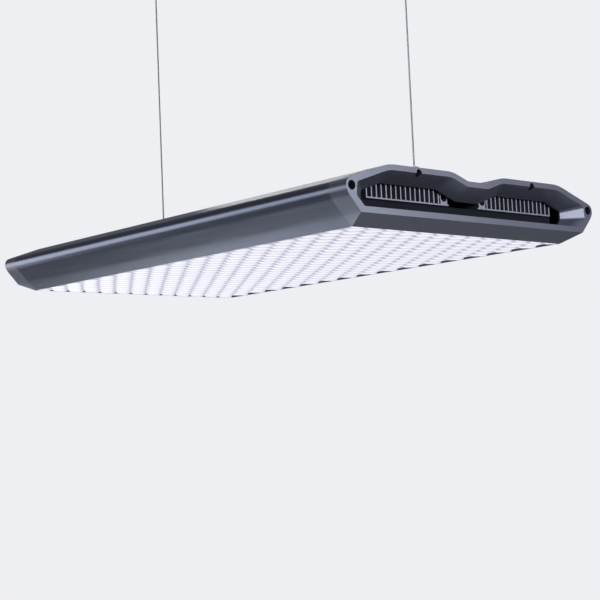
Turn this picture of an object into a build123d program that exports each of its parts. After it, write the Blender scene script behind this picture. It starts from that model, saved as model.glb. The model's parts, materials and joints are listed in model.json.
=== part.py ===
from build123d import *
import os

# Hanging LED aquarium light: an extruded double-hump housing with an open end cap at each end,
# two finned heat sinks, LED boards, an optic panel and two wire suspensions.
# Millimetres. X runs along the light, Y across it, Z up.
# Everything is drawn with the housing's lower lip at z = 0, and save() lowers it so that
# z = 0 of the finished part is the ceiling plane, midway between the two ceiling fittings.

# ---- driving dimensions: whole light -------------------------------------------------------------
LENGTH = 450.0            # over the two end caps
WIDTH = 260.0             # over the rounded side edges
HEIGHT = 42.0             # lower lip to the top of the humps
CEILING_Z = 298.0         # ceiling plane above the lip
BEYOND = 100.0            # how far a cutting body runs past everything it cuts

# ---- cross-section of the housing ----------------------------------------------------------------
LIP_Y = 109.9             # half width at the lower lip
CALF_Y, CALF_Z = 117.0, 6.8      # the side face swells slightly between the lip and the edge
BELLY_Y, BELLY_Z = 127.9, 18.6
EDGE_R = 6.0              # rounded side edge
EDGE_Y, EDGE_Z = 132.61, 27.43     # where the side and the top slope would meet without the round
HUMP_OUT_Y, HUMP_IN_Y = 90.0, 26.0
VALLEY_Y, VALLEY_Z = 10.0, 36.4
WALL = 2.4
CAVITY_FLOOR_Z = 7.2      # top of the inner ledge
LEDGE_Z = 5.4             # underside of the inner ledge
LEDGE_Y = 104.0
POCKET_Y = 109.1          # half width of the pocket that holds the optic panel

# ---- end caps ------------------------------------------------------------------------------------
CAP_DEPTH = 18.0
THROAT_DEPTH = 12.0       # from the rim back to the throat of the window
THROAT_LIP = 1.5          # thickness of the throat's edge
CAP_X = LENGTH / 2 - CAP_DEPTH
THROAT_X = LENGTH / 2 - THROAT_DEPTH
FOOT_FLAT = 0.5           # flat left at the foot of the cap by its bevel
FOOT_Z = 6.9              # top of the bevel, at the rim
TONGUE = 6.0              # ledge on the cap that reaches in under the tray
EDGE_SCREW_Y, EDGE_SCREW_Z = 124.8, 24.6
HUMP_SCREW_Y, HUMP_SCREW_Z = 60.0, 38.4
EDGE_HEAD_R, HUMP_HEAD_R = 2.7, 2.3
EDGE_RECESS_R, HUMP_RECESS_R = 3.3, 2.5
SCREW_SEAT_X = LENGTH / 2 - 13.0
SCREW_R = 1.6
SCREW_LENGTH = 18.0
SCREW_HEAD_H = 2.4

# ---- heat sinks and boards -----------------------------------------------------------------------
SINK_X = 209.8            # half length
SINK_IN_Y, SINK_OUT_Y = 15.6, 97.4
SINK_BASE_Z, SINK_TOP_Z = 20.2, 31.2
SINK_BASE = 1.3
FIN_COUNT = 16
FIN_PITCH = 4.73
FIN = 1.2
FIN_STEP = 1.6            # rise from one fin to the next at the outer end of the comb
SHORT_FINS = 2
SINK_PORT_Y, SINK_PORT_Z, SINK_PORT_R = 20.4, 26.3, 3.0
SINK_PORT_WALL = 1.1
PAD = 0.4
BOARD = 1.6
BOARD_X = 203.8
BOARD_IN_Y, BOARD_OUT_Y = 17.0, 96.5
BOARD_SCREW_R = 1.5
BOARD_HOLE_R = 1.6
CHIP = 5.0
CHIP_H = 1.1
CHIP_WINDOW_R = 1.9
CHIP_COLUMNS, CHIP_ROWS = 10, 7
CHIP_PITCH_X, CHIP_PITCH_Y = 39.0, 11.0

# ---- optics --------------------------------------------------------------------------------------
PANEL_X, PANEL_Y = 206.8, 108.9      # half sizes of the optic panel
LENS_Z = 0.1              # lowest point of the lenses, just inside the lip
PANEL_Z = 1.6             # underside of the panel's sheet
PANEL_TOP_Z = 4.5
LENS_PITCH_X, LENS_PITCH_Y = 25.9, 17.1
LENS_COLUMNS, LENS_ROWS = 16, 12
LENS_GAP = 0.5
LENS_TAPER = 30
TRAY_X, TRAY_Y = 206.4, 101.0
TRAY_FLANGE_Y = 109.5
TRAY_WALL = 1.2
WINDOW_MARGIN = 4.0       # how far each board's window in the tray is inside the board's outline
LINER = 0.5
LINER_GAP = 0.2

# ---- suspension ----------------------------------------------------------------------------------
HANGER_X = 162.0
STUD_R = 3.0
SHOULDER_R = 7.0
WIRE_R = 0.65
GRIPPER_R = 6.0
GRIPPER_TOP_Z = 54.0
GROOVE_DEPTH = 0.5
CHAMBER_R = 3.6
SLEEVE_R = 2.3
PLUNGER_TRAVEL = 1.8
PLUNGER_TOP_Z = 58.4
CEILING_CAP_Z = 284.0
CEILING_CAP_R = 14.0
CEILING_CUP_R = 12.2      # inside the ceiling cap
CEILING_SCREW_R = 2.25

# ---- cable gland ---------------------------------------------------------------------------------
GLAND_X = -90.0
GLAND_R = 6.0             # thread through the housing
GLAND_NECK_R = 5.5
GLAND_SEAL_R = 4.6
CABLE_R = 3.0
GLAND_HEX = 15.0          # across flats

SIDES = (("left", -1), ("right", 1))       # the two ends, along X
BANKS = (("front", -1), ("back", 1))       # the two halves, along Y


def mirrored(half):
    """A closed outline from its points on +Y, listed upwards from the underside."""
    return [(y, z) for y, z in half] + [(-y, z) for y, z in reversed(half)]


def outline(half, radii):
    """A symmetric closed section in the YZ plane with its corners rounded."""
    path = FilletPolyline(*mirrored(half), radius=radii + radii[::-1], close=True)
    return Plane.YZ * make_face(path.edges())


def bar(face, x0, x1):
    """A YZ section carried from x0 to x1."""
    return Pos(x0, 0, 0) * extrude(face, x1 - x0, dir=(1, 0, 0))


def block(x0, x1, y0, y1, z0, z1):
    return Pos((x0 + x1) / 2, (y0 + y1) / 2, (z0 + z1) / 2) * Box(x1 - x0, y1 - y0, z1 - z0)


def post(x, y, z0, z1, r):
    return Pos(x, y, (z0 + z1) / 2) * Cylinder(r, z1 - z0)


def rod(x0, x1, y, z, r):
    """A cylinder along X."""
    return Pos((x0 + x1) / 2, y, z) * Rot(0, 90, 0) * Cylinder(r, x1 - x0)


def hexagon(x, y, z0, z1, across_flats):
    return Pos(x, y, z0) * extrude(RegularPolygon(across_flats / 2, 6, major_radius=False), z1 - z0)


def group(solids):
    return Compound(children=[s for part in solids for s in part.solids()])


def save(name, shape):
    moved = Pos(0, 0, -CEILING_Z) * shape
    export_step(moved, f"parts/{name}.step")


OUTER = [
    (LIP_Y, 0), (CALF_Y, CALF_Z), (BELLY_Y, BELLY_Z), (EDGE_Y, EDGE_Z),
    (HUMP_OUT_Y, HEIGHT), (HUMP_IN_Y, HEIGHT), (VALLEY_Y, VALLEY_Z),
]
OUTER_RADII = [0.2, 80.0, 21.0, EDGE_R, 40.0, 30.0, 8.0]
CEILING_INNER_Z = HEIGHT - WALL
CAVITY = [
    (110.8, CAVITY_FLOOR_Z), (119.0, 15.2), (119.0, 29.2),
    (89.6, CEILING_INNER_Z), (26.8, CEILING_INNER_Z), (10.3, VALLEY_Z - WALL),
]
CAVITY_RADII = [1.0, 2.0, 2.0, 37.0, 27.0, 8.0]


# ---- housing -------------------------------------------------------------------------------------
def screw_ports():
    """Places of the four screws in each end cap."""
    for side in (-1, 1):
        yield side * EDGE_SCREW_Y, EDGE_SCREW_Z
        yield side * HUMP_SCREW_Y, HUMP_SCREW_Z


def top_housing():
    body = bar(outline(OUTER, OUTER_RADII), -CAP_X, CAP_X)
    body -= bar(outline(CAVITY, CAVITY_RADII), -CAP_X, CAP_X)
    body -= block(-CAP_X, CAP_X, -LEDGE_Y, LEDGE_Y, -1, CAVITY_FLOOR_Z + 1)
    body -= block(-CAP_X, CAP_X, -POCKET_Y, POCKET_Y, -1, LEDGE_Z)
    for side in (-1, 1):
        body += rod(-CAP_X, CAP_X, side * HUMP_SCREW_Y, HUMP_SCREW_Z, 2 * SCREW_R)
    for y, z in screw_ports():
        body -= rod(-CAP_X, CAP_X, y, z, SCREW_R)
    for _, side in SIDES:
        body -= post(side * HANGER_X, 0, VALLEY_Z - 2 * WALL, HEIGHT, STUD_R + 0.1)
    body -= post(GLAND_X, 0, VALLEY_Z - 2 * WALL, HEIGHT, GLAND_R + 0.1)
    return body


# ---- end caps ------------------------------------------------------------------------------------
WINDOW = [(113.6, 11.2), (120.6, 18.0), (119.4, 27.6), (88.8, 38.0), (27.0, 38.0), (11.0, 32.4)]
WINDOW_RADII = [1.0, 3.0, 3.0, 30.0, 22.0, 15.0]
THROAT = [(102.0, 13.6), (105.6, 18.0), (105.6, 24.4), (87.0, 30.9), (32.0, 30.9), (12.0, 23.4)]
THROAT_RADII = [1.0, 3.0, 3.0, 20.0, 14.0, 12.0]


def end_cap():
    """The cap at the +X end: a rim, a hooded window that narrows to a throat, and a bevelled foot."""
    rim_x = LENGTH / 2
    window_face = Pos(rim_x, 0, 0) * outline(WINDOW, WINDOW_RADII)
    throat_face = Pos(THROAT_X, 0, 0) * outline(THROAT, THROAT_RADII)
    cap = bar(outline(OUTER, OUTER_RADII), CAP_X, rim_x)
    cap -= loft([throat_face, window_face], ruled=True)
    cap -= bar(outline(THROAT, THROAT_RADII), CAP_X - 1, THROAT_X)
    cap -= bar(outline(CAVITY, CAVITY_RADII), CAP_X - 1, THROAT_X - THROAT_LIP)
    foot_x = CAP_X + FOOT_FLAT
    bevel = Plane.XZ * make_face(
        Polyline((foot_x, 0), (rim_x, FOOT_Z), (rim_x + 1, FOOT_Z), (rim_x + 1, -1), (foot_x, -1),
                 close=True).edges())
    cap -= Pos(0, WIDTH, 0) * extrude(bevel, 2 * WIDTH)
    for y, z in screw_ports():
        recess_r = EDGE_RECESS_R if z == EDGE_SCREW_Z else HUMP_RECESS_R
        if z == HUMP_SCREW_Z:
            cap += rod(CAP_X, SCREW_SEAT_X, y, z, 2 * SCREW_R)
        cap -= rod(CAP_X - 1, rim_x + 1, y, z, SCREW_R + 0.2)
        cap -= rod(SCREW_SEAT_X, rim_x + 1, y, z, recess_r)
    cap += block(CAP_X - TONGUE, CAP_X, -LEDGE_Y + 0.2, LEDGE_Y - 0.2, LEDGE_Z, CAVITY_FLOOR_Z)
    return cap


def cap_screw(y, z):
    """A socket-head screw in the +X cap."""
    head_r = EDGE_HEAD_R if z == EDGE_SCREW_Z else HUMP_HEAD_R
    socket_r = head_r / 2
    head_x = SCREW_SEAT_X + SCREW_HEAD_H
    screw = rod(SCREW_SEAT_X, head_x, y, z, head_r)
    screw += rod(SCREW_SEAT_X - SCREW_LENGTH, SCREW_SEAT_X, y, z, SCREW_R)
    socket = Pos(head_x, y, z) * Rot(0, -90, 0) * extrude(RegularPolygon(socket_r, 6), SCREW_HEAD_H / 2)
    return screw - socket


# ---- heat sinks, boards and LEDs -----------------------------------------------------------------
def heat_sink():
    """The comb of the +Y bank: base, fins under the slope of the hood, and an inner screw port."""
    port_outer_r = SINK_PORT_R + SINK_PORT_WALL
    sink = block(-SINK_X, SINK_X, SINK_IN_Y, SINK_OUT_Y, SINK_BASE_Z, SINK_BASE_Z + SINK_BASE)
    outer_fin = SINK_OUT_Y - FIN / 2
    for i in range(FIN_COUNT):
        y = outer_fin - i * FIN_PITCH
        top = SINK_TOP_Z - FIN_STEP * max(0, SHORT_FINS - i)
        sink += block(-SINK_X, SINK_X, y - FIN / 2, y + FIN / 2, SINK_BASE_Z, top)
    sink += rod(-SINK_X, SINK_X, SINK_PORT_Y, SINK_PORT_Z, port_outer_r)
    sink += block(-SINK_X, SINK_X, SINK_IN_Y + 1.2, SINK_PORT_Y + 3.4, SINK_BASE_Z, SINK_PORT_Z - 1)
    sink -= rod(-SINK_X - 1, SINK_X + 1, SINK_PORT_Y, SINK_PORT_Z, SINK_PORT_R)
    slot = SINK_PORT_R / 2
    return sink - block(-SINK_X, SINK_X, SINK_PORT_Y - slot, SINK_PORT_Y + slot, SINK_PORT_Z, SINK_TOP_Z)


PAD_Z = SINK_BASE_Z - PAD
BOARD_Z = PAD_Z - BOARD
BOARD_MID_Y = (BOARD_IN_Y + BOARD_OUT_Y) / 2


def board_screw_places():
    """Screws stand midway between the chips' columns and rows."""
    for x in (-4 * CHIP_PITCH_X, 0.0, 4 * CHIP_PITCH_X):
        for row in (-2.5, 2.5):
            yield x, BOARD_MID_Y + row * CHIP_PITCH_Y


def thermal_pad():
    pad = block(-BOARD_X, BOARD_X, BOARD_IN_Y, BOARD_OUT_Y, PAD_Z, SINK_BASE_Z)
    for x, y in board_screw_places():
        pad -= post(x, y, PAD_Z - 1, SINK_BASE_Z + 1, BOARD_HOLE_R)
    return pad


def led_board():
    board = block(-BOARD_X, BOARD_X, BOARD_IN_Y, BOARD_OUT_Y, BOARD_Z, PAD_Z)
    for x, y in board_screw_places():
        board -= post(x, y, BOARD_Z - 1, PAD_Z + 1, BOARD_HOLE_R)
    return board


def led_sites():
    """Chip places on one board: far red, white and colour chips in turn."""
    sites = []
    for row in range(CHIP_ROWS):
        for column in range(CHIP_COLUMNS):
            x = (column - (CHIP_COLUMNS - 1) / 2) * CHIP_PITCH_X
            y = BOARD_MID_Y + (row - (CHIP_ROWS - 1) / 2) * CHIP_PITCH_Y
            sites.append((x, y))
    far_red = sites[8::18]
    others = [s for s in sites if s not in far_red]
    white = others[0::3]
    colour = [s for s in others if s not in white]
    return {"white_leds": white, "rgb_leds": colour, "far_red_leds": far_red}


def led_chip(x, y):
    """A square package with a shallow round emitting window."""
    half = CHIP / 2
    chip = block(x - half, x + half, y - half, y + half, BOARD_Z - CHIP_H, BOARD_Z)
    return chip - post(x, y, BOARD_Z - CHIP_H - 1, BOARD_Z - CHIP_H + 0.3, CHIP_WINDOW_R)


def board_screw(x, y):
    screw = post(x, y, BOARD_Z - 1.0, BOARD_Z, 1.6 * BOARD_SCREW_R)
    return screw + post(x, y, BOARD_Z, SINK_BASE_Z, BOARD_SCREW_R)


# ---- optics --------------------------------------------------------------------------------------
def lens_sites():
    """Two interleaved grids of lens centres; both end with a whole column inside the sheet's ends."""
    for i in range(LENS_COLUMNS):
        for j in range(LENS_ROWS):
            yield (i - (LENS_COLUMNS - 1) / 2) * LENS_PITCH_X, (j - (LENS_ROWS - 1) / 2) * LENS_PITCH_Y
    for i in range(1, LENS_COLUMNS):
        for j in range(LENS_ROWS + 1):
            yield (i - LENS_COLUMNS / 2) * LENS_PITCH_X, (j - LENS_ROWS / 2) * LENS_PITCH_Y


def lens_cell():
    """The six-sided share of the panel that belongs to one lens, less half the gap around it."""
    half_x, half_y = LENS_PITCH_X / 2, LENS_PITCH_Y / 2
    reach = (half_x ** 2 + half_y ** 2) / 2
    tip = reach / half_x
    shoulder = (reach - half_y ** 2) / half_x
    corners = [(tip, 0), (shoulder, half_y), (-shoulder, half_y),
               (-tip, 0), (-shoulder, -half_y), (shoulder, -half_y)]
    return offset(make_face(Polyline(*corners, close=True).edges()), -LENS_GAP, kind=Kind.INTERSECTION)


def lens_panel():
    """A flat sheet with a low tapered six-sided lens under each site."""
    plate = block(-PANEL_X, PANEL_X, -PANEL_Y, PANEL_Y, PANEL_Z, PANEL_TOP_Z)
    depth = PANEL_Z - LENS_Z
    lens = Pos(0, 0, PANEL_Z) * extrude(lens_cell(), depth, dir=(0, 0, -1), taper=LENS_TAPER)
    lenses = [Pos(x, y, 0) * lens for x, y in lens_sites()]
    trim = block(-PANEL_X, PANEL_X, -PANEL_Y, PANEL_Y, -1, PANEL_TOP_Z)
    inside, border = [], []
    for cell in lenses:
        box = cell.bounding_box()
        crosses = max(box.max.Y, -box.min.Y) > PANEL_Y
        (border if crosses else inside).append(cell)
    return plate.fuse(*inside, *[cell & trim for cell in border])


def panel_gasket():
    outer = block(-PANEL_X, PANEL_X, -PANEL_Y, PANEL_Y, PANEL_TOP_Z, LEDGE_Z)
    inner_x = CAP_X - TONGUE + 0.5
    return outer - block(-inner_x, inner_x, -LEDGE_Y - 0.5, LEDGE_Y + 0.5, PANEL_TOP_Z - 1, LEDGE_Z + 1)


def tray_windows(z0, z1, margin):
    """A cutting body under each board, inside the board's outline by the margin."""
    for _, side in BANKS:
        y0, y1 = sorted((side * (BOARD_IN_Y + margin), side * (BOARD_OUT_Y - margin)))
        yield block(-BOARD_X + margin, BOARD_X - margin, y0, y1, z0, z1)


def led_tray():
    """A black tray on the housing's ledges: flange, four walls, a top with a window per board, and an
    upstand across each end that hides the ends of the boards."""
    top = BOARD_Z
    tray = block(-TRAY_X, TRAY_X, -TRAY_Y, TRAY_Y, CAVITY_FLOOR_Z, top)
    flange_x = CAP_X - 0.5
    tray += block(-flange_x, flange_x, -TRAY_FLANGE_Y, TRAY_FLANGE_Y, CAVITY_FLOOR_Z,
                  CAVITY_FLOOR_Z + TRAY_WALL)
    inner_x, inner_y = TRAY_X - TRAY_WALL, TRAY_Y - TRAY_WALL
    for _, side in SIDES:
        x0, x1 = sorted((side * inner_x, side * TRAY_X))
        tray += block(x0, x1, -TRAY_Y, TRAY_Y, top, SINK_BASE_Z)
    tray -= block(-inner_x, inner_x, -inner_y, inner_y, 0, top - TRAY_WALL)
    for window in tray_windows(0, top + 1, WINDOW_MARGIN):
        tray -= window
    return tray


def reflector():
    """A thin white liner inside the tray."""
    x, y = TRAY_X - TRAY_WALL - LINER_GAP, TRAY_Y - TRAY_WALL - LINER_GAP
    top = BOARD_Z - TRAY_WALL - LINER_GAP
    liner = block(-x, x, -y, y, CAVITY_FLOOR_Z, top)
    liner -= block(-x + LINER, x - LINER, -y + LINER, y - LINER, 0, top - LINER)
    for window in tray_windows(0, top + 1, WINDOW_MARGIN + 1):
        liner -= window
    return liner


# ---- control electronics in the middle channel ---------------------------------------------------
CONTROL_X0, CONTROL_X1 = -150.0, -20.0
CONTROL_HALF_Y = 12.0
CONTROL_Z = BOARD_Z + 3.0
CONTROL_SCREWS = [(CONTROL_X0 + 5, 0), (CONTROL_X1 - 5, 0)]
COIL = 12.0
CAPACITOR_R, CAPACITOR_H = 3.2, 6.5
# name: x and y of the nearest corner, length, width, height
CONTROL_BLOCKS = {
    "coil 1": (-136, -10, COIL, COIL, 5.5),
    "coil 2": (-118, -10, COIL, COIL, 5.5),
    "terminal block": (-104, 5, 28, 6, 4.0),
    "radio module": (-74, -8, 24, 16, 2.4),
    "driver chip": (-46, -10, 12, 8, 3.0),
}


def control_board():
    board = block(CONTROL_X0, CONTROL_X1, -CONTROL_HALF_Y, CONTROL_HALF_Y, CONTROL_Z, CONTROL_Z + BOARD)
    for x, y in CONTROL_SCREWS:
        board -= post(x, y, CONTROL_Z - 1, CONTROL_Z + 3, BOARD_HOLE_R)
    return board


def control_parts():
    """Coils, terminal block, radio module, driver and capacitors standing on the control board."""
    z = CONTROL_Z + BOARD
    parts = [block(x, x + length, y, y + width, z, z + height)
             for x, y, length, width, height in CONTROL_BLOCKS.values()]
    parts += [post(x, 7, z, z + CAPACITOR_H, CAPACITOR_R) for x in (-132, -122, -112)]
    return group(parts)


def control_standoffs():
    return group([
        hexagon(x, y, BOARD_Z, CONTROL_Z, 5.5) - post(x, y, BOARD_Z - 1, CONTROL_Z + 1, 1.5)
        for x, y in CONTROL_SCREWS])


def control_screws():
    z = CONTROL_Z + BOARD
    return group([post(x, y, z, z + 1.4, 2.6) + post(x, y, CONTROL_Z - 2, z, 1.45)
                  for x, y in CONTROL_SCREWS])


# ---- cable gland ---------------------------------------------------------------------------------
GLAND_FLANGE_Z = VALLEY_Z + 4.0
GLAND_NECK_Z = VALLEY_Z + 10.0
GLAND_TOP_Z = VALLEY_Z + 14.6


def gland_body():
    body = post(GLAND_X, 0, VALLEY_Z - 5.6, VALLEY_Z, GLAND_R)
    body += hexagon(GLAND_X, 0, VALLEY_Z, GLAND_FLANGE_Z, GLAND_HEX)
    body += post(GLAND_X, 0, GLAND_FLANGE_Z, GLAND_NECK_Z, GLAND_NECK_R)
    body -= post(GLAND_X, 0, 0, BEYOND, 3.6)
    return body - post(GLAND_X, 0, GLAND_FLANGE_Z, BEYOND, GLAND_SEAL_R + 0.1)


def gland_seal():
    seal = post(GLAND_X, 0, GLAND_FLANGE_Z, GLAND_TOP_Z - 2, GLAND_SEAL_R)
    return seal - post(GLAND_X, 0, 0, BEYOND, CABLE_R)


def gland_nut():
    """Domed clamping nut with six flats on its skirt."""
    z0 = GLAND_FLANGE_Z + 0.6
    dome = fillet(post(GLAND_X, 0, z0, GLAND_TOP_Z, 7.8).edges().sort_by(Axis.Z)[-1], 2.5)
    dome &= hexagon(GLAND_X, 0, z0, GLAND_TOP_Z, GLAND_HEX)
    dome -= post(GLAND_X, 0, 0, GLAND_NECK_Z + 0.2, GLAND_NECK_R + 0.05)
    dome -= post(GLAND_X, 0, 0, GLAND_TOP_Z - 1.8, GLAND_SEAL_R + 0.15)
    return dome - post(GLAND_X, 0, 0, BEYOND, CABLE_R + 0.3)


def gland_locknut():
    nut = hexagon(GLAND_X, 0, VALLEY_Z - WALL - 2.6, VALLEY_Z - WALL, 14.0)
    return nut - post(GLAND_X, 0, 0, BEYOND, GLAND_R + 0.05)


# ---- suspension ----------------------------------------------------------------------------------
SHOULDER_Z = VALLEY_Z + 2.0
STUD_TOP_Z = SHOULDER_Z + 6.0
WEB_Z = STUD_TOP_Z + 0.2
CHAMBER_Z = WEB_Z + 1.0
CHAMBER_TOP_Z = 51.0
COLLAR_Z = 49.2


def hanger_stud(x):
    """Threaded stud with a round shoulder on the housing, for the gripper to screw on."""
    stud = post(x, 0, VALLEY_Z - WALL - 6.4, STUD_TOP_Z, STUD_R)
    return stud + post(x, 0, VALLEY_Z, SHOULDER_Z, SHOULDER_R)


def hanger_nut(x):
    nut = hexagon(x, 0, VALLEY_Z - WALL - 4.8, VALLEY_Z - WALL, 10.0)
    return nut - post(x, 0, 0, BEYOND, STUD_R + 0.05)


def gripper_body(x):
    """Cylindrical wire gripper: threaded foot, a chamber for spring and balls, and a plunger bore."""
    z0 = SHOULDER_Z + 0.2
    body = chamfer(post(x, 0, z0, GRIPPER_TOP_Z, GRIPPER_R).edges().filter_by(GeomType.CIRCLE), 0.6)
    groove = post(x, 0, z0 + 4.0, z0 + 5.0, GRIPPER_R + 1)
    groove -= post(x, 0, z0, GRIPPER_TOP_Z, GRIPPER_R - GROOVE_DEPTH)
    body -= groove
    body -= post(x, 0, 0, STUD_TOP_Z, STUD_R + 0.05)
    body -= post(x, 0, 0, CHAMBER_Z, 2 * WIRE_R)
    body -= post(x, 0, CHAMBER_Z, CHAMBER_TOP_Z, CHAMBER_R)
    return body - post(x, 0, CHAMBER_Z, BEYOND, SLEEVE_R + 0.05)


def gripper_plunger(x):
    """Spring-loaded release sleeve around the wire."""
    button_z = GRIPPER_TOP_Z + PLUNGER_TRAVEL + 0.2
    sleeve = post(x, 0, COLLAR_Z, button_z, SLEEVE_R)
    sleeve += post(x, 0, COLLAR_Z, CHAMBER_TOP_Z - 0.1, CHAMBER_R - 0.3)
    button = post(x, 0, button_z, PLUNGER_TOP_Z, CHAMBER_R)
    sleeve += fillet(button.edges().sort_by(Axis.Z)[-1], 0.8)
    return sleeve - post(x, 0, 0, BEYOND, WIRE_R + 0.15)


def gripper_spring(x):
    """A short helix of wire between the chamber floor and the plunger's collar."""
    wire_r, coil_r = 0.3, 2.75
    turns = 2.5
    height = COLLAR_Z - CHAMBER_Z - 2 * wire_r - 0.1
    helix = Edge.make_helix(pitch=height / turns, height=height, radius=coil_r)
    start = Plane(origin=helix @ 0, z_dir=helix % 0)
    return Pos(x, 0, CHAMBER_Z + wire_r + 0.05) * sweep(start * Circle(wire_r), path=helix)


def gripper_balls(x):
    """Three hardened balls that bite on the wire."""
    ball_r = 0.8
    ring_r = WIRE_R + ball_r
    return group([Pos(x, 0, CHAMBER_Z + ball_r + 0.05) * Rot(0, 0, 120 * i) * Pos(ring_r + 0.01, 0, 0)
                  * Sphere(ball_r) for i in range(3)])


WIRE_FOOT_Z = STUD_TOP_Z + 0.4
STOP_Z = CEILING_CAP_Z + 4.1
BASE_THICK = 4.0


def suspension_wire(x):
    return post(x, 0, WIRE_FOOT_Z, STOP_Z, WIRE_R)


def wire_stop(x):
    """Swaged ball on the wire's upper end."""
    return Pos(x, 0, STOP_Z) * Sphere(2.2) - post(x, 0, STOP_Z - 5, STOP_Z, WIRE_R)


def ceiling_cap(x):
    """Rounded cup that covers the ceiling base and carries the wire through its floor."""
    cup = post(x, 0, CEILING_CAP_Z, CEILING_Z - 0.2, CEILING_CAP_R)
    cup = fillet(cup.edges().sort_by(Axis.Z)[0], 6.0)
    hollow = post(x, 0, CEILING_CAP_Z + 2, CEILING_Z + 5, CEILING_CUP_R)
    cup -= fillet(hollow.edges().sort_by(Axis.Z)[0], 4.0)
    return cup - post(x, 0, CEILING_CAP_Z - 1, CEILING_CAP_Z + 5, 1.0)


def ceiling_base(x):
    """Flanged disc fixed to the ceiling by one screw through its middle."""
    disc = post(x, 0, CEILING_Z - BASE_THICK, CEILING_Z, CEILING_CUP_R - 0.05)
    return disc - post(x, 0, CEILING_Z - 2 * BASE_THICK, CEILING_Z + 1, CEILING_SCREW_R)


# ---- write every node ----------------------------------------------------------------------------
os.makedirs("parts", exist_ok=True)

save("top_housing", top_housing())
cap_right = end_cap()
screws_right = group([cap_screw(y, z) for y, z in screw_ports()])
save("end_cap_right", cap_right)
save("end_cap_screws_right", screws_right)
save("end_cap_left", mirror(cap_right, about=Plane.YZ))
save("end_cap_screws_left", mirror(screws_right, about=Plane.YZ))

bank = {
    "heat_sink": heat_sink(),
    "thermal_pad": thermal_pad(),
    "led_board": led_board(),
    "board_screws": group([board_screw(x, y) for x, y in board_screw_places()]),
}
for kind, places in led_sites().items():
    bank[kind] = group([led_chip(x, y) for x, y in places])
for node, shape in bank.items():
    save(f"{node}_back", shape)
    save(f"{node}_front", mirror(shape, about=Plane.XZ))

save("lens_panel", lens_panel())
save("panel_gasket", panel_gasket())
save("led_tray", led_tray())
save("reflector", reflector())

save("control_board", control_board())
save("control_parts", control_parts())
save("control_standoffs", control_standoffs())
save("control_screws", control_screws())

save("gland_body", gland_body())
save("gland_seal", gland_seal())
save("gland_nut", gland_nut())
save("gland_locknut", gland_locknut())

for name, side in SIDES:
    x = side * HANGER_X
    save(f"hanger_stud_{name}", hanger_stud(x))
    save(f"hanger_nut_{name}", hanger_nut(x))
    save(f"gripper_body_{name}", gripper_body(x))
    save(f"gripper_plunger_{name}", gripper_plunger(x))
    save(f"gripper_spring_{name}", gripper_spring(x))
    save(f"gripper_balls_{name}", gripper_balls(x))
    save(f"suspension_wire_{name}", suspension_wire(x))
    save(f"wire_stop_{name}", wire_stop(x))
    save(f"ceiling_cap_{name}", ceiling_cap(x))
    save(f"ceiling_base_{name}", ceiling_base(x))
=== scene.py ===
"""The looks of a hanging LED aquarium light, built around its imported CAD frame. Metres, row frame:
the ceiling plane is z = 0, X runs along the light, -Y is the long side that the camera sees."""
import json
import math

import bmesh
import bpy
from mathutils import Matrix, Vector


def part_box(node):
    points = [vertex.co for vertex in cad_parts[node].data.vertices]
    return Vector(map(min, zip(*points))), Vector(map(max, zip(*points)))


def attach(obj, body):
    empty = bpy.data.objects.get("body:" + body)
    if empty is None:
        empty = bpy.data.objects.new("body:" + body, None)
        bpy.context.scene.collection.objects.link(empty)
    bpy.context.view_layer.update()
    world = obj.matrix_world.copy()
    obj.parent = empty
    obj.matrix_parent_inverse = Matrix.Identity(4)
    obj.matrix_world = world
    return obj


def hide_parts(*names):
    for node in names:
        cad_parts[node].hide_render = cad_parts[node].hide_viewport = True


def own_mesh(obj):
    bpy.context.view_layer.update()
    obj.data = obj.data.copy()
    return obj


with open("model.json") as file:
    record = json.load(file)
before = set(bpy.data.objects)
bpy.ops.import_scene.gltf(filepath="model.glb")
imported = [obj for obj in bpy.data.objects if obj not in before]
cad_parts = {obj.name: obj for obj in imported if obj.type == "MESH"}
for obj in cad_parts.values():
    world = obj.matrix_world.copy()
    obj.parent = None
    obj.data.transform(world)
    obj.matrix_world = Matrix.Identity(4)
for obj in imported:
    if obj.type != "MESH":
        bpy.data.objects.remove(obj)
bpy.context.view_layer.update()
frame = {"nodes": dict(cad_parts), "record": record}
nodes = frame["nodes"]

MM = 0.001
LEAST = 0.001 * MM        # closer than this counts as touching
SHARP = math.radians(38)  # edges that turn by more than this are shaded sharp
SIDES = ("left", "right")


# ---- camera --------------------------------------------------------------------------------------
CAMERA_PLACE = (0.92828, -0.78696, -0.44088)
CAMERA_TURN = (138.961, 5.448, -2.498)        # yaw, pitch and roll in degrees
CAMERA_LENS = 88.15
SENSOR_WIDTH = 36.0


def make_camera():
    """Below the light, near its right end, looking along it and slightly up."""
    yaw, pitch, roll = (math.radians(angle) for angle in CAMERA_TURN)
    forward = Vector((math.cos(pitch) * math.cos(yaw), math.cos(pitch) * math.sin(yaw), math.sin(pitch)))
    level = Vector((math.sin(yaw), -math.cos(yaw), 0.0))
    upright = level.cross(forward)
    across = level * math.cos(roll) + upright * math.sin(roll)
    up = upright * math.cos(roll) - level * math.sin(roll)
    data = bpy.data.cameras.new("camera")
    data.sensor_width = SENSOR_WIDTH
    data.lens = CAMERA_LENS
    camera = bpy.data.objects.new("camera", data)
    turn = Matrix((across, up, -forward)).transposed().to_4x4()
    camera.matrix_world = Matrix.Translation(CAMERA_PLACE) @ turn
    bpy.context.scene.collection.objects.link(camera)
    bpy.context.scene.camera = camera


make_camera()


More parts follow.
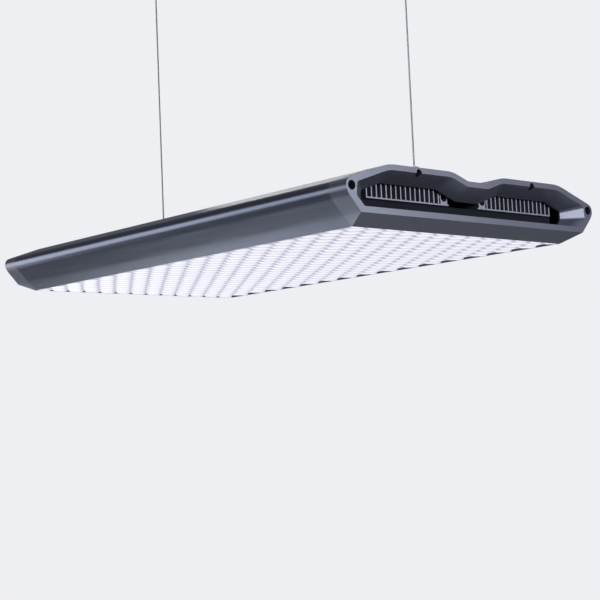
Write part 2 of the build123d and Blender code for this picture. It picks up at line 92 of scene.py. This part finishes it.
# ---- pieces in general ---------------------------------------------------------------------------
def piece(name, made, slot, body="light"):
    """A new object from a bmesh, riding on a body and finished as a slot of the record."""
    mesh = bpy.data.meshes.new(name)
    bmesh.ops.recalc_face_normals(made, faces=made.faces)
    for face in made.faces:
        face.smooth = True
    made.to_mesh(mesh)
    made.free()
    mesh.set_sharp_from_angle(angle=SHARP)
    thing = bpy.data.objects.new(name, mesh)
    bpy.context.scene.collection.objects.link(thing)
    mesh.materials.append(FINISHES[slot])
    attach(thing, body)
    return thing


def skin(made, rings, closed=True):
    """Faces between neighbouring rings of vertices, and caps over the first and last."""
    for low, high in zip(rings, rings[1:]):
        count = len(low)
        for i in range(count):
            j = (i + 1) % count
            made.faces.new((low[i], low[j], high[j], high[i]))
    if closed:
        made.faces.new(tuple(reversed(rings[0])))
        made.faces.new(tuple(rings[-1]))


def ring(made, centre, radius, z, count, shape=None):
    """Vertices round a vertical axis; shape may change the radius with the angle."""
    verts = []
    for i in range(count):
        angle = 2 * math.pi * i / count
        reach = radius + (shape(angle, z) if shape else 0.0)
        x, y = centre.x + reach * math.cos(angle), centre.y + reach * math.sin(angle)
        verts.append(made.verts.new((x, y, z)))
    return verts


def middle(node):
    """The centre of a CAD node's box."""
    lowest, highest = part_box(node)
    return (lowest + highest) / 2


# ---- materials -----------------------------------------------------------------------------------
class Finish:
    """A node material round one Principled shader, with short ways to make its textures."""

    def __init__(self, name, **fixed):
        self.material = bpy.data.materials.new(name)
        self.material.use_nodes = True
        self.tree = self.material.node_tree
        self.shader = self.tree.nodes["Principled BSDF"]
        for socket, value in fixed.items():
            self.shader.inputs[socket.replace("_", " ")].default_value = value
        self.place = self.node("TexCoord").outputs["Object"]

    def node(self, kind, inputs=None, **settings):
        made = self.tree.nodes.new("ShaderNode" + kind)
        for key, value in settings.items():
            setattr(made, key, value)
        for key, value in (inputs or {}).items():
            if isinstance(value, bpy.types.NodeSocket):
                self.tree.links.new(value, made.inputs[key])
            else:
                made.inputs[key].default_value = value
        return made

    def stretched(self, stretch):
        """Object coordinates scaled by stretch, for textures drawn out along an axis."""
        return self.node("Mapping", {"Vector": self.place, "Scale": stretch}).outputs["Vector"]

    def noise(self, scale, stretch=(1, 1, 1), detail=3.0, roughness=0.55):
        made = self.node("TexNoise", {"Vector": self.stretched(stretch), "Scale": scale, "Detail": detail,
                                      "Roughness": roughness})
        return made.outputs["Fac"]

    def mapped(self, value, low, high, from_low=0.3, from_high=0.7):
        made = self.node("MapRange", {"Value": value, "From Min": from_low, "From Max": from_high,
                                      "To Min": low, "To Max": high})
        return made.outputs["Result"]

    def mixed(self, share, first, second):
        made = self.node("Mix", {"Factor": share, "A": first, "B": second}, data_type="RGBA")
        return made.outputs[2]

    def worn(self, low=0.56, high=0.75):
        """A mask of the surface's convex edges, broken up by noise."""
        points = self.node("NewGeometry").outputs["Pointiness"]
        edge = self.mapped(points, 0.0, 1.0, low, high)
        patchy = self.mapped(self.noise(160.0, detail=4.0), 0.0, 1.0, 0.35, 0.6)
        return self.node("Math", {0: edge, 1: patchy}, operation="MULTIPLY").outputs[0]

    def set(self, socket, value):
        self.tree.links.new(value, self.shader.inputs[socket])

    def bump(self, height, strength, distance):
        """Adds a layer of bump on top of those there are."""
        made = self.node("Bump", {"Height": height, "Strength": strength, "Distance": distance})
        below = self.shader.inputs["Normal"]
        if below.is_linked:
            self.tree.links.new(below.links[0].from_socket, made.inputs["Normal"])
        self.tree.links.new(made.outputs["Normal"], below)


def colour(red, green, blue):
    """A linear colour from an sRGB one given as 0 to 255."""
    def linear(value):
        share = value / 255
        return share / 12.92 if share <= 0.04045 else ((share + 0.055) / 1.055) ** 2.4
    return (linear(red), linear(green), linear(blue), 1.0)


def surface(name, tone, accent, rough, cloud=40.0, grain=900.0, stretch=(1, 1, 1), bump=0.15, wear=None,
            **fixed):
    """A finish whose colour drifts from tone to accent and whose roughness and bump follow a fine grain.
    wear is the colour that shows along its edges."""
    made = Finish(name, **fixed)
    drift = made.noise(cloud, detail=4.0)
    fine = made.noise(grain, stretch)
    base = made.mixed(made.mapped(drift, 0.0, 1.0), tone, accent)
    if wear:
        base = made.mixed(made.worn(), base, wear)
    made.set("Base Color", base)
    made.set("Roughness", made.mapped(fine, rough[0], rough[1]))
    made.bump(fine, bump, 0.0001)
    return made


def anodised():
    """Dark slate anodised aluminium with faint die lines along the extrusion."""
    made = surface("anodised_slate", colour(62, 66, 80), colour(68, 72, 86), (0.28, 0.35), cloud=9.0,
                   grain=700.0, stretch=(0.02, 1, 1), bump=0.02, Metallic=0.9)
    made.bump(made.noise(3000.0), 0.04, 0.00004)
    return made.material


def coated():
    """Satin powder coat of the end caps."""
    made = surface("coated_cap", colour(68, 71, 83), colour(72, 75, 87), (0.34, 0.42), cloud=30.0,
                   grain=2600.0, bump=0.12, Metallic=0.7)
    made.bump(made.noise(1400.0), 0.05, 0.00006)
    return made.material


def brushed(name, tone, accent, rough, turned=False, **fixed):
    """Metal with fine marks round its axis where it is turned, or along X where it is drawn."""
    stretch = (1, 1, 22) if turned else (0.03, 1, 1)
    return surface(name, tone, accent, rough, grain=1500.0, stretch=stretch, Metallic=1.0, **fixed).material


def lit_lenses():
    """Opal lenses lit from behind: white where they face down, faintly violet up in the gaps."""
    made = Finish("lit_lens", Roughness=0.6, Specular_IOR_Level=0.12)
    made.shader.inputs["Base Color"].default_value = colour(90, 90, 98)
    separate = made.node("SeparateXYZ", {"Vector": made.place})
    low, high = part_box("lens_panel")
    rise = made.mapped(separate.outputs["Z"], 0.0, 1.0, low.z + 0.02 * MM, low.z + 0.85 * MM)
    cell = made.node("TexVoronoi", {"Vector": made.place, "Scale": 70.0}).outputs["Distance"]
    glow = made.mixed(made.mapped(cell, 0.0, 1.0, 0.0, 0.9), colour(250, 250, 254), colour(245, 245, 252))
    made.set("Emission Color", made.mixed(rise, glow, colour(194, 193, 214)))
    made.shader.inputs["Emission Strength"].default_value = 0.82
    made.material.cycles.emission_sampling = "NONE"
    return made.material


def circuit():
    """Green solder mask over the faint relief of its tracks."""
    made = surface("board_green", colour(14, 58, 38), colour(20, 70, 46), (0.3, 0.42))
    tracks = made.node("TexBrick", {"Vector": made.place, "Scale": 120.0, "Mortar Size": 0.03})
    made.bump(tracks.outputs["Fac"], 0.3, 0.00005)
    return made.material


def chip_window(name, tone, accent):
    return surface(name, tone, accent, (0.12, 0.25), cloud=400.0, Coat_Weight=0.6).material


GREY, PALE = colour(150, 152, 158), colour(176, 178, 184)
FINISHES = {
    "housing": anodised(),
    "end_cap": coated(),
    "heat_sink": surface("sink_aluminium", colour(84, 86, 98), colour(94, 96, 108), (0.45, 0.6),
                         grain=800.0, stretch=(0.03, 1, 1), Metallic=0.8).material,
    "thermal_pad": surface("pad_grey", colour(96, 98, 106), colour(86, 88, 96), (0.7, 0.85),
                           grain=1800.0).material,
    "led_board": surface("board_white", colour(224, 226, 224), colour(214, 217, 214), (0.45, 0.6)).material,
    "led_white": chip_window("phosphor", colour(240, 226, 150), colour(232, 214, 128)),
    "led_rgb": chip_window("clear_window", colour(214, 218, 228), colour(196, 202, 216)),
    "led_far_red": chip_window("red_window", colour(150, 52, 52), colour(128, 40, 40)),
    "screw_steel": brushed("zinc_steel", PALE, GREY, (0.28, 0.42), turned=True),
    "screw_black": surface("black_oxide", colour(22, 22, 26), colour(32, 32, 38), (0.35, 0.5),
                           grain=2400.0, Metallic=0.8).material,
    "gasket": surface("gasket_foam", colour(20, 20, 24), colour(28, 28, 32), (0.75, 0.9),
                      grain=2000.0).material,
    # The tray is near black with almost no specular so that it stays dark under the key lamp: partly the
    # tray's own black, partly painted shade for the shadow it lies in below the heat sinks.
    "tray": surface("tray_black_painted_shade", colour(5, 7, 15), colour(8, 10, 19), (0.6, 0.75), grain=1800.0,
                    Specular_IOR_Level=0.06).material,
    "reflector": surface("liner_white", colour(240, 240, 238), colour(232, 232, 230), (0.4, 0.5)).material,
    "control_board": circuit(),
    "components": surface("parts_black", colour(26, 26, 30), colour(36, 36, 40), (0.4, 0.6)).material,
    "standoff": brushed("turned_brass", colour(196, 164, 92), colour(176, 142, 74), (0.25, 0.4), turned=True),
    "gland_plastic": surface("nylon_black", colour(22, 22, 25), colour(30, 30, 34), (0.42, 0.55),
                             grain=2200.0, bump=0.3).material,
    "gland_rubber": surface("seal_rubber", colour(16, 16, 18), colour(24, 24, 26), (0.7, 0.85)).material,
    "hanger_metal": brushed("stud_nickel", PALE, GREY, (0.25, 0.38), turned=True),
    "gripper_metal": brushed("gripper_nickel", colour(186, 187, 190), PALE, (0.16, 0.28), turned=True,
                             wear=colour(214, 214, 216)),
    "plunger_metal": brushed("plunger_nickel", colour(190, 184, 166), colour(172, 164, 142), (0.2, 0.34),
                             turned=True, wear=colour(206, 176, 110)),
    "spring_steel": brushed("spring_wire", GREY, colour(128, 130, 136), (0.25, 0.4)),
    "ball_steel": surface("ball_polish", PALE, colour(188, 189, 192), (0.06, 0.12), bump=0.02,
                          Metallic=1.0).material,
    "wire_steel": surface("stranded_steel", colour(104, 106, 112), colour(88, 90, 96), (0.3, 0.45),
                          grain=2600.0, Metallic=0.9).material,
    "ceiling_cap": brushed("satin_nickel", colour(182, 183, 187), PALE, (0.2, 0.32), turned=True,
                           wear=colour(210, 211, 213)),
    "ceiling_base": brushed("base_zinc", GREY, PALE, (0.35, 0.5), turned=True),
    "optic_panel": lit_lenses(),
}


def soften(node, width):
    """Joins a CAD node's facets and gives its sharp edges a small real round, all with modifiers."""
    thing = nodes[node]
    weld = thing.modifiers.new("weld", "WELD")
    weld.merge_threshold = 0.002 * MM
    flat = thing.modifiers.new("flat", "DECIMATE")
    flat.decimate_type = "DISSOLVE"
    flat.angle_limit = math.radians(0.4)
    bevel = thing.modifiers.new("round", "BEVEL")
    bevel.width = width
    bevel.segments = 2
    bevel.limit_method = "ANGLE"
    bevel.angle_limit = math.radians(32)
    level = thing.modifiers.new("level", "WEIGHTED_NORMAL")
    level.mode = "FACE_AREA"


ROUNDS = {                # width in mm of the round on nodes whose names start like this
    "top_housing": 0.3, "end_cap": 0.45, "heat_sink": 0.3, "led_tray": 0.25, "end_cap_screws": 0.15,
    "gland_body": 0.3, "gland_locknut": 0.25, "gripper_body": 0.15,
}

for row in frame["record"]["subparts"]:
    slots = nodes[row["node"]].data.materials
    slots.clear()
    slots.append(FINISHES[row["material_slot"]])

for node in nodes:
    for start in sorted(ROUNDS, key=len, reverse=True):
        if node.startswith(start):
            soften(node, ROUNDS[start] * MM)
            break


# ---- suspension wires ----------------------------------------------------------------------------
WIRE = 1.3 * MM
WIRE_FOOT = -253.2 * MM
WIRE_HEAD = -9.9 * MM
STRANDS = 6
STRAND = WIRE / 3
STRAND_SIDES = 6
LAY = 9 * MM              # length of one turn of a strand
ROUTE_END = 6 * WIRE      # how far the route's inner points lie from its ends


def wire_route(side):
    """The wire's centreline: straight up from inside the gripper to the swaged ball in the ceiling cap."""
    centre = middle(f"suspension_wire_{side}")
    levels = (WIRE_FOOT, WIRE_FOOT + ROUTE_END, WIRE_HEAD - ROUTE_END, WIRE_HEAD)
    data = bpy.data.curves.new(f"wire_route_{side}", "CURVE")
    data.dimensions = "3D"
    spline = data.splines.new("NURBS")
    spline.points.add(len(levels) - 1)
    for point, z in zip(spline.points, levels):
        point.co = (centre.x, centre.y, z, 1.0)
    spline.order_u = 3
    spline.use_endpoint_u = True
    spline.resolution_u = 140
    return data


def route_points(data):
    """Points along a route, read from its own spline."""
    holder = bpy.data.objects.new("route", data)
    line = bpy.data.meshes.new_from_object(holder)
    points = [vert.co.copy() for vert in line.vertices]
    bpy.data.objects.remove(holder)
    bpy.data.meshes.remove(line)
    bpy.data.curves.remove(data)
    return points


def strand(made, path, offset, phase):
    """One strand of the wire as a closed tube laid round the path at the offset."""
    rings = []
    travelled = 0.0
    for i, point in enumerate(path):
        if i:
            travelled += (point - path[i - 1]).length
        angle = phase + 2 * math.pi * travelled / LAY
        centre = point + Vector((math.cos(angle), math.sin(angle), 0)) * offset
        rings.append(ring(made, centre, STRAND / 2, centre.z, STRAND_SIDES))
    skin(made, rings)


def wire(side):
    """Six strands laid round a seventh."""
    path = route_points(wire_route(side))
    made = bmesh.new()
    strand(made, path, 0.0, 0.0)
    for i in range(STRANDS):
        strand(made, path, STRAND, 2 * math.pi * i / STRANDS)
    rope = piece(f"wire_rope_{side}", made, "wire_steel")
    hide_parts(f"suspension_wire_{side}")


for side in SIDES:
    wire(side)


# ---- lit lens panel ------------------------------------------------------------------------------
PITCH_X, PITCH_Y = 25.9 * MM, 17.1 * MM
COLUMNS, ROWS = 16, 12
LENS_GAP = 0.7 * MM
LENS_ROUND = 0.34         # how much of each side its rounded corners take
SHEET_UP = 1.5 * MM       # from the lenses' lowest point to the sheet
SHEET_ROUND = 0.3 * MM
BORDER = 0.05 * MM        # how far inside the sheet's edge the outer lenses are cut off
LENS_RINGS = (            # size and rise of each ring of a lens, from the sheet down to its crown
    (1.0, 1.08), (0.98, 0.86), (0.945, 0.62), (0.89, 0.38), (0.81, 0.18), (0.7, 0.06), (0.5, 0.0),
)


def lens_outline():
    """The six-sided share of the panel round one lens, its corners rounded, tips along X."""
    half_x, half_y = PITCH_X / 2, PITCH_Y / 2
    reach = (half_x ** 2 + half_y ** 2) / 2
    tip, shoulder = reach / half_x, (reach - half_y ** 2) / half_x
    corners = [Vector((tip, 0)), Vector((shoulder, half_y)), Vector((-shoulder, half_y)),
               Vector((-tip, 0)), Vector((-shoulder, -half_y)), Vector((shoulder, -half_y))]
    shrink = 1 - LENS_GAP / half_y
    points = []
    for i, corner in enumerate(corners):
        back, ahead = corners[i - 1], corners[(i + 1) % 6]
        for share in (0.0, 0.25, 0.5, 0.75, 1.0):
            start = corner.lerp(back, LENS_ROUND)
            end = corner.lerp(ahead, LENS_ROUND)
            points.append(start.lerp(corner, share).lerp(corner.lerp(end, share), share) * shrink)
    return points


def lens_centres():
    """The lenses' centres: the full columns, and between and beyond them the staggered ones."""
    for i in range(COLUMNS):
        for j in range(ROWS):
            yield Vector(((i - (COLUMNS - 1) / 2) * PITCH_X, (j - (ROWS - 1) / 2) * PITCH_Y))
    for i in range(COLUMNS + 1):
        for j in range(ROWS + 1):
            yield Vector(((i - COLUMNS / 2) * PITCH_X, (j - ROWS / 2) * PITCH_Y))


def clipped(points, limits):
    """A closed outline with everything beyond +-limits of x and of y cut away."""
    for axis in (0, 1):
        for limit in (-limits[axis], limits[axis]):
            kept = []
            for i, point in enumerate(points):
                before = points[i - 1]
                inside, was_inside = point[axis] / limit <= 1, before[axis] / limit <= 1
                if inside != was_inside:
                    share = (limit - before[axis]) / (point[axis] - before[axis])
                    kept.append(before.lerp(point, share))
                if inside:
                    kept.append(point)
            points = kept
    return points


def lens_panel():
    """The sheet with its low domed lenses; each lens is a closed body bedded in the sheet."""
    low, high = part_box("lens_panel")
    sheet_z = low.z + SHEET_UP
    made = bmesh.new()
    slab = bmesh.ops.create_cube(made, size=1.0)["verts"]
    for vert in slab:
        vert.co = Vector((vert.co.x * (high.x - low.x), vert.co.y * (high.y - low.y),
                          sheet_z if vert.co.z < 0 else high.z))
    bmesh.ops.bevel(made, geom=made.edges[:], offset=SHEET_ROUND, segments=2, affect="EDGES")
    outline = lens_outline()
    borders = (high.x - BORDER, high.y - BORDER)
    for centre in lens_centres():
        edge = clipped([centre + point for point in outline], borders)
        core = sum(edge, Vector((0.0, 0.0))) / len(edge)
        rings = []
        for size, rise in LENS_RINGS:
            level = [core.lerp(point, size) for point in edge]
            for point, rim in zip(level, edge):
                for axis in (0, 1):
                    if abs(rim[axis]) > borders[axis] - LEAST:
                        point[axis] = rim[axis]
            z = low.z + rise * SHEET_UP
            rings.append([made.verts.new((*point, z)) for point in level])
        skin(made, rings)
    sheet = piece("lens_sheet", made, "optic_panel")
    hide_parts("lens_panel")


lens_panel()


# ---- small turned and moulded detail -------------------------------------------------------------
KNURLS = 36
KNURL_HEIGHT = 0.22 * MM
KNURL_SLANT = 10          # how far the knurls turn over the band's height, in radians of their wave
KNURL_STEPS = 12
BAND_SPAN = (0.6, 0.9)    # the band's ends, as shares of the body's height
BAND_BEDDED = 0.1 * MM
BAND_PROUD = 0.03 * MM


def knurled_band(side):
    """A diamond-knurled band round the gripper's body."""
    low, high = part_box(f"gripper_body_{side}")
    centre = (low + high) / 2
    radius = (high.x - low.x) / 2
    foot, head = (low.z + share * (high.z - low.z) for share in BAND_SPAN)

    def teeth(angle, z):
        climb = (z - foot) / (head - foot)
        right = math.sin(KNURLS * angle + KNURL_SLANT * climb)
        left = math.sin(KNURLS * angle - KNURL_SLANT * climb)
        fade = min(1.0, 6 * climb, 6 * (1 - climb))
        return fade * KNURL_HEIGHT * max(0.0, right * left + 0.35)

    made = bmesh.new()
    count = 6 * KNURLS
    levels = [foot + (head - foot) * i / KNURL_STEPS for i in range(KNURL_STEPS + 1)]
    rings = [ring(made, centre, radius - BAND_BEDDED, foot, count)]
    rings += [ring(made, centre, radius + BAND_PROUD, z, count, teeth) for z in levels]
    rings.append(ring(made, centre, radius - BAND_BEDDED, head, count))
    skin(made, rings + rings[:1], closed=False)
    piece(f"gripper_knurl_{side}", made, "gripper_metal")


SPRING_TURNS = 3
SPRING_WIRE = 0.25 * MM   # radius
SPRING_STEPS = 24         # rings in each turn
SPRING_SIDES = 8


def spring(side):
    """The plunger's return spring, coiled to fill the CAD spring's box."""
    low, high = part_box(f"gripper_spring_{side}")
    centre = (low + high) / 2
    radius = (high.x - low.x) / 2 - SPRING_WIRE
    rise = high.z - low.z - 2 * SPRING_WIRE
    steps = SPRING_STEPS * SPRING_TURNS
    made = bmesh.new()
    rings = []
    for i in range(steps + 1):
        angle = 2 * math.pi * SPRING_TURNS * i / steps
        outward = Vector((math.cos(angle), math.sin(angle), 0))
        at = Vector((centre.x, centre.y, low.z + SPRING_WIRE + rise * i / steps)) + outward * radius
        section = []
        for k in range(SPRING_SIDES):
            turn = 2 * math.pi * k / SPRING_SIDES
            offset = outward * math.cos(turn) + Vector((0, 0, math.sin(turn)))
            section.append(made.verts.new(at + offset * SPRING_WIRE))
        rings.append(section)
    skin(made, rings)
    coil = piece(f"spring_coil_{side}", made, "spring_steel")
    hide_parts(f"gripper_spring_{side}")
    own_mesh(coil)


for side in SIDES:
    knurled_band(side)
    spring(side)


RIBS = 24                 # places round the nut; those at its corners stay empty
RIB_RADIUS = 0.5 * MM
RIB_BEDDED = 0.35 * MM
RIB_TOP = 0.55            # share of the nut's height
CORNER = 0.45             # a place this many radians or more from a flat's middle is at a corner


def gland_ribs():
    """Grip ribs on the flats of the clamping nut's skirt."""
    low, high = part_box("gland_nut")
    centre = (low + high) / 2
    reach = (high.y - low.y) / 2 - RIB_BEDDED
    top = low.z + RIB_TOP * (high.z - low.z)
    levels = ((0.7, low.z + 0.2 * MM), (1.0, low.z + 0.5 * MM), (1.0, top - 0.5 * MM), (0.4, top))
    made = bmesh.new()
    for i in range(RIBS):
        angle = 2 * math.pi * i / RIBS
        from_flat = (angle + math.pi / 6) % (math.pi / 3) - math.pi / 6
        if abs(from_flat) >= CORNER:
            continue
        outward = Vector((math.cos(angle + math.pi / 2), math.sin(angle + math.pi / 2), 0))
        at = centre + outward * (reach / math.cos(from_flat))
        skin(made, [ring(made, at, RIB_RADIUS * size, z, 8) for size, z in levels])
    piece("gland_nut_ribs", made, "gland_plastic")


gland_ribs()


# ---- studio --------------------------------------------------------------------------------------
FLOOR_Z = -1.9
FLOOR_RADIUS = 5.0
FLOOR_FADE = (1.5, 4.5)   # distances from its middle at which the floor starts and ends to fade


def softbox(name, place, target, size, watts, tint=(1.0, 1.0, 1.0), spread=180):
    """A rectangular area lamp aimed at a target; spread is its beam's full angle in degrees."""
    data = bpy.data.lights.new(name, "AREA")
    data.spread = math.radians(spread)
    data.shape = "RECTANGLE"
    data.size, data.size_y = size
    data.energy = watts
    data.color = tint
    lamp = bpy.data.objects.new(name, data)
    lamp.location = place
    lamp.rotation_euler = (Vector(target) - Vector(place)).to_track_quat("-Z", "Y").to_euler()
    bpy.context.scene.collection.objects.link(lamp)


def studio():
    """A pale backdrop that lights the light only faintly, and the lamps round it."""
    world = bpy.data.worlds.new("studio")
    bpy.context.scene.world = world
    world.use_nodes = True
    tree = world.node_tree
    ground = tree.nodes["Background"]
    ground.inputs["Color"].default_value = colour(238, 239, 242)
    ground.inputs["Strength"].default_value = 1.0
    seen = tree.nodes.new("ShaderNodeLightPath")
    dim = tree.nodes.new("ShaderNodeBackground")
    dim.inputs["Color"].default_value = (0.75, 0.8, 0.9, 1.0)
    dim.inputs["Strength"].default_value = 0.2
    mix = tree.nodes.new("ShaderNodeMixShader")
    tree.links.new(seen.outputs["Is Camera Ray"], mix.inputs["Fac"])
    tree.links.new(dim.outputs[0], mix.inputs[1])
    tree.links.new(ground.outputs[0], mix.inputs[2])
    tree.links.new(mix.outputs[0], tree.nodes["World Output"].inputs["Surface"])
    softbox("key_right", (1.65, 0.5, -0.18), (0.2, 0, -0.28), (0.9, 0.8), 34)
    softbox("top", (0.0, -0.3, 1.3), (0, 0, -0.28), (1.6, 1.2), 24)
    softbox("strip_left", (-1.35, -1.12, -0.42), (0, -0.13, -0.28), (1.9, 0.9), 28, (0.95, 0.97, 1.0))
    softbox("low_left", (-1.8, 0.42, -1.85), (0, -0.13, -0.28), (0.9, 1.4), 18, (0.9, 0.94, 1.0), 75)
    softbox("back_left", (-1.4, 1.3, 0.3), (-0.05, -0.1, -0.27), (0.6, 0.5), 2.2)
    softbox("side_glint", (1.56, -0.5, -0.2), (0.22, 0.1, -0.28), (0.36, 0.26), 15.0)


def floor():
    """A pale round floor far below, fading out towards its rim so that no horizon shows."""
    made = bmesh.new()
    bmesh.ops.create_circle(made, cap_ends=True, segments=96, radius=FLOOR_RADIUS)
    mesh = bpy.data.meshes.new("floor")
    made.to_mesh(mesh)
    made.free()
    plane = bpy.data.objects.new("floor", mesh)
    plane.location = (0, 0, FLOOR_Z)
    finish = surface("floor_pale", colour(236, 236, 239), colour(230, 230, 234), (0.7, 0.85), cloud=0.5,
                     grain=40.0, bump=0.02)
    reach = finish.node("VectorMath", {0: finish.place}, operation="LENGTH").outputs["Value"]
    finish.set("Alpha", finish.mapped(reach, 1.0, 0.0, *FLOOR_FADE))
    mesh.materials.append(finish.material)
    bpy.context.scene.collection.objects.link(plane)


studio()
floor()
bpy.context.scene.view_settings.view_transform = "Standard"
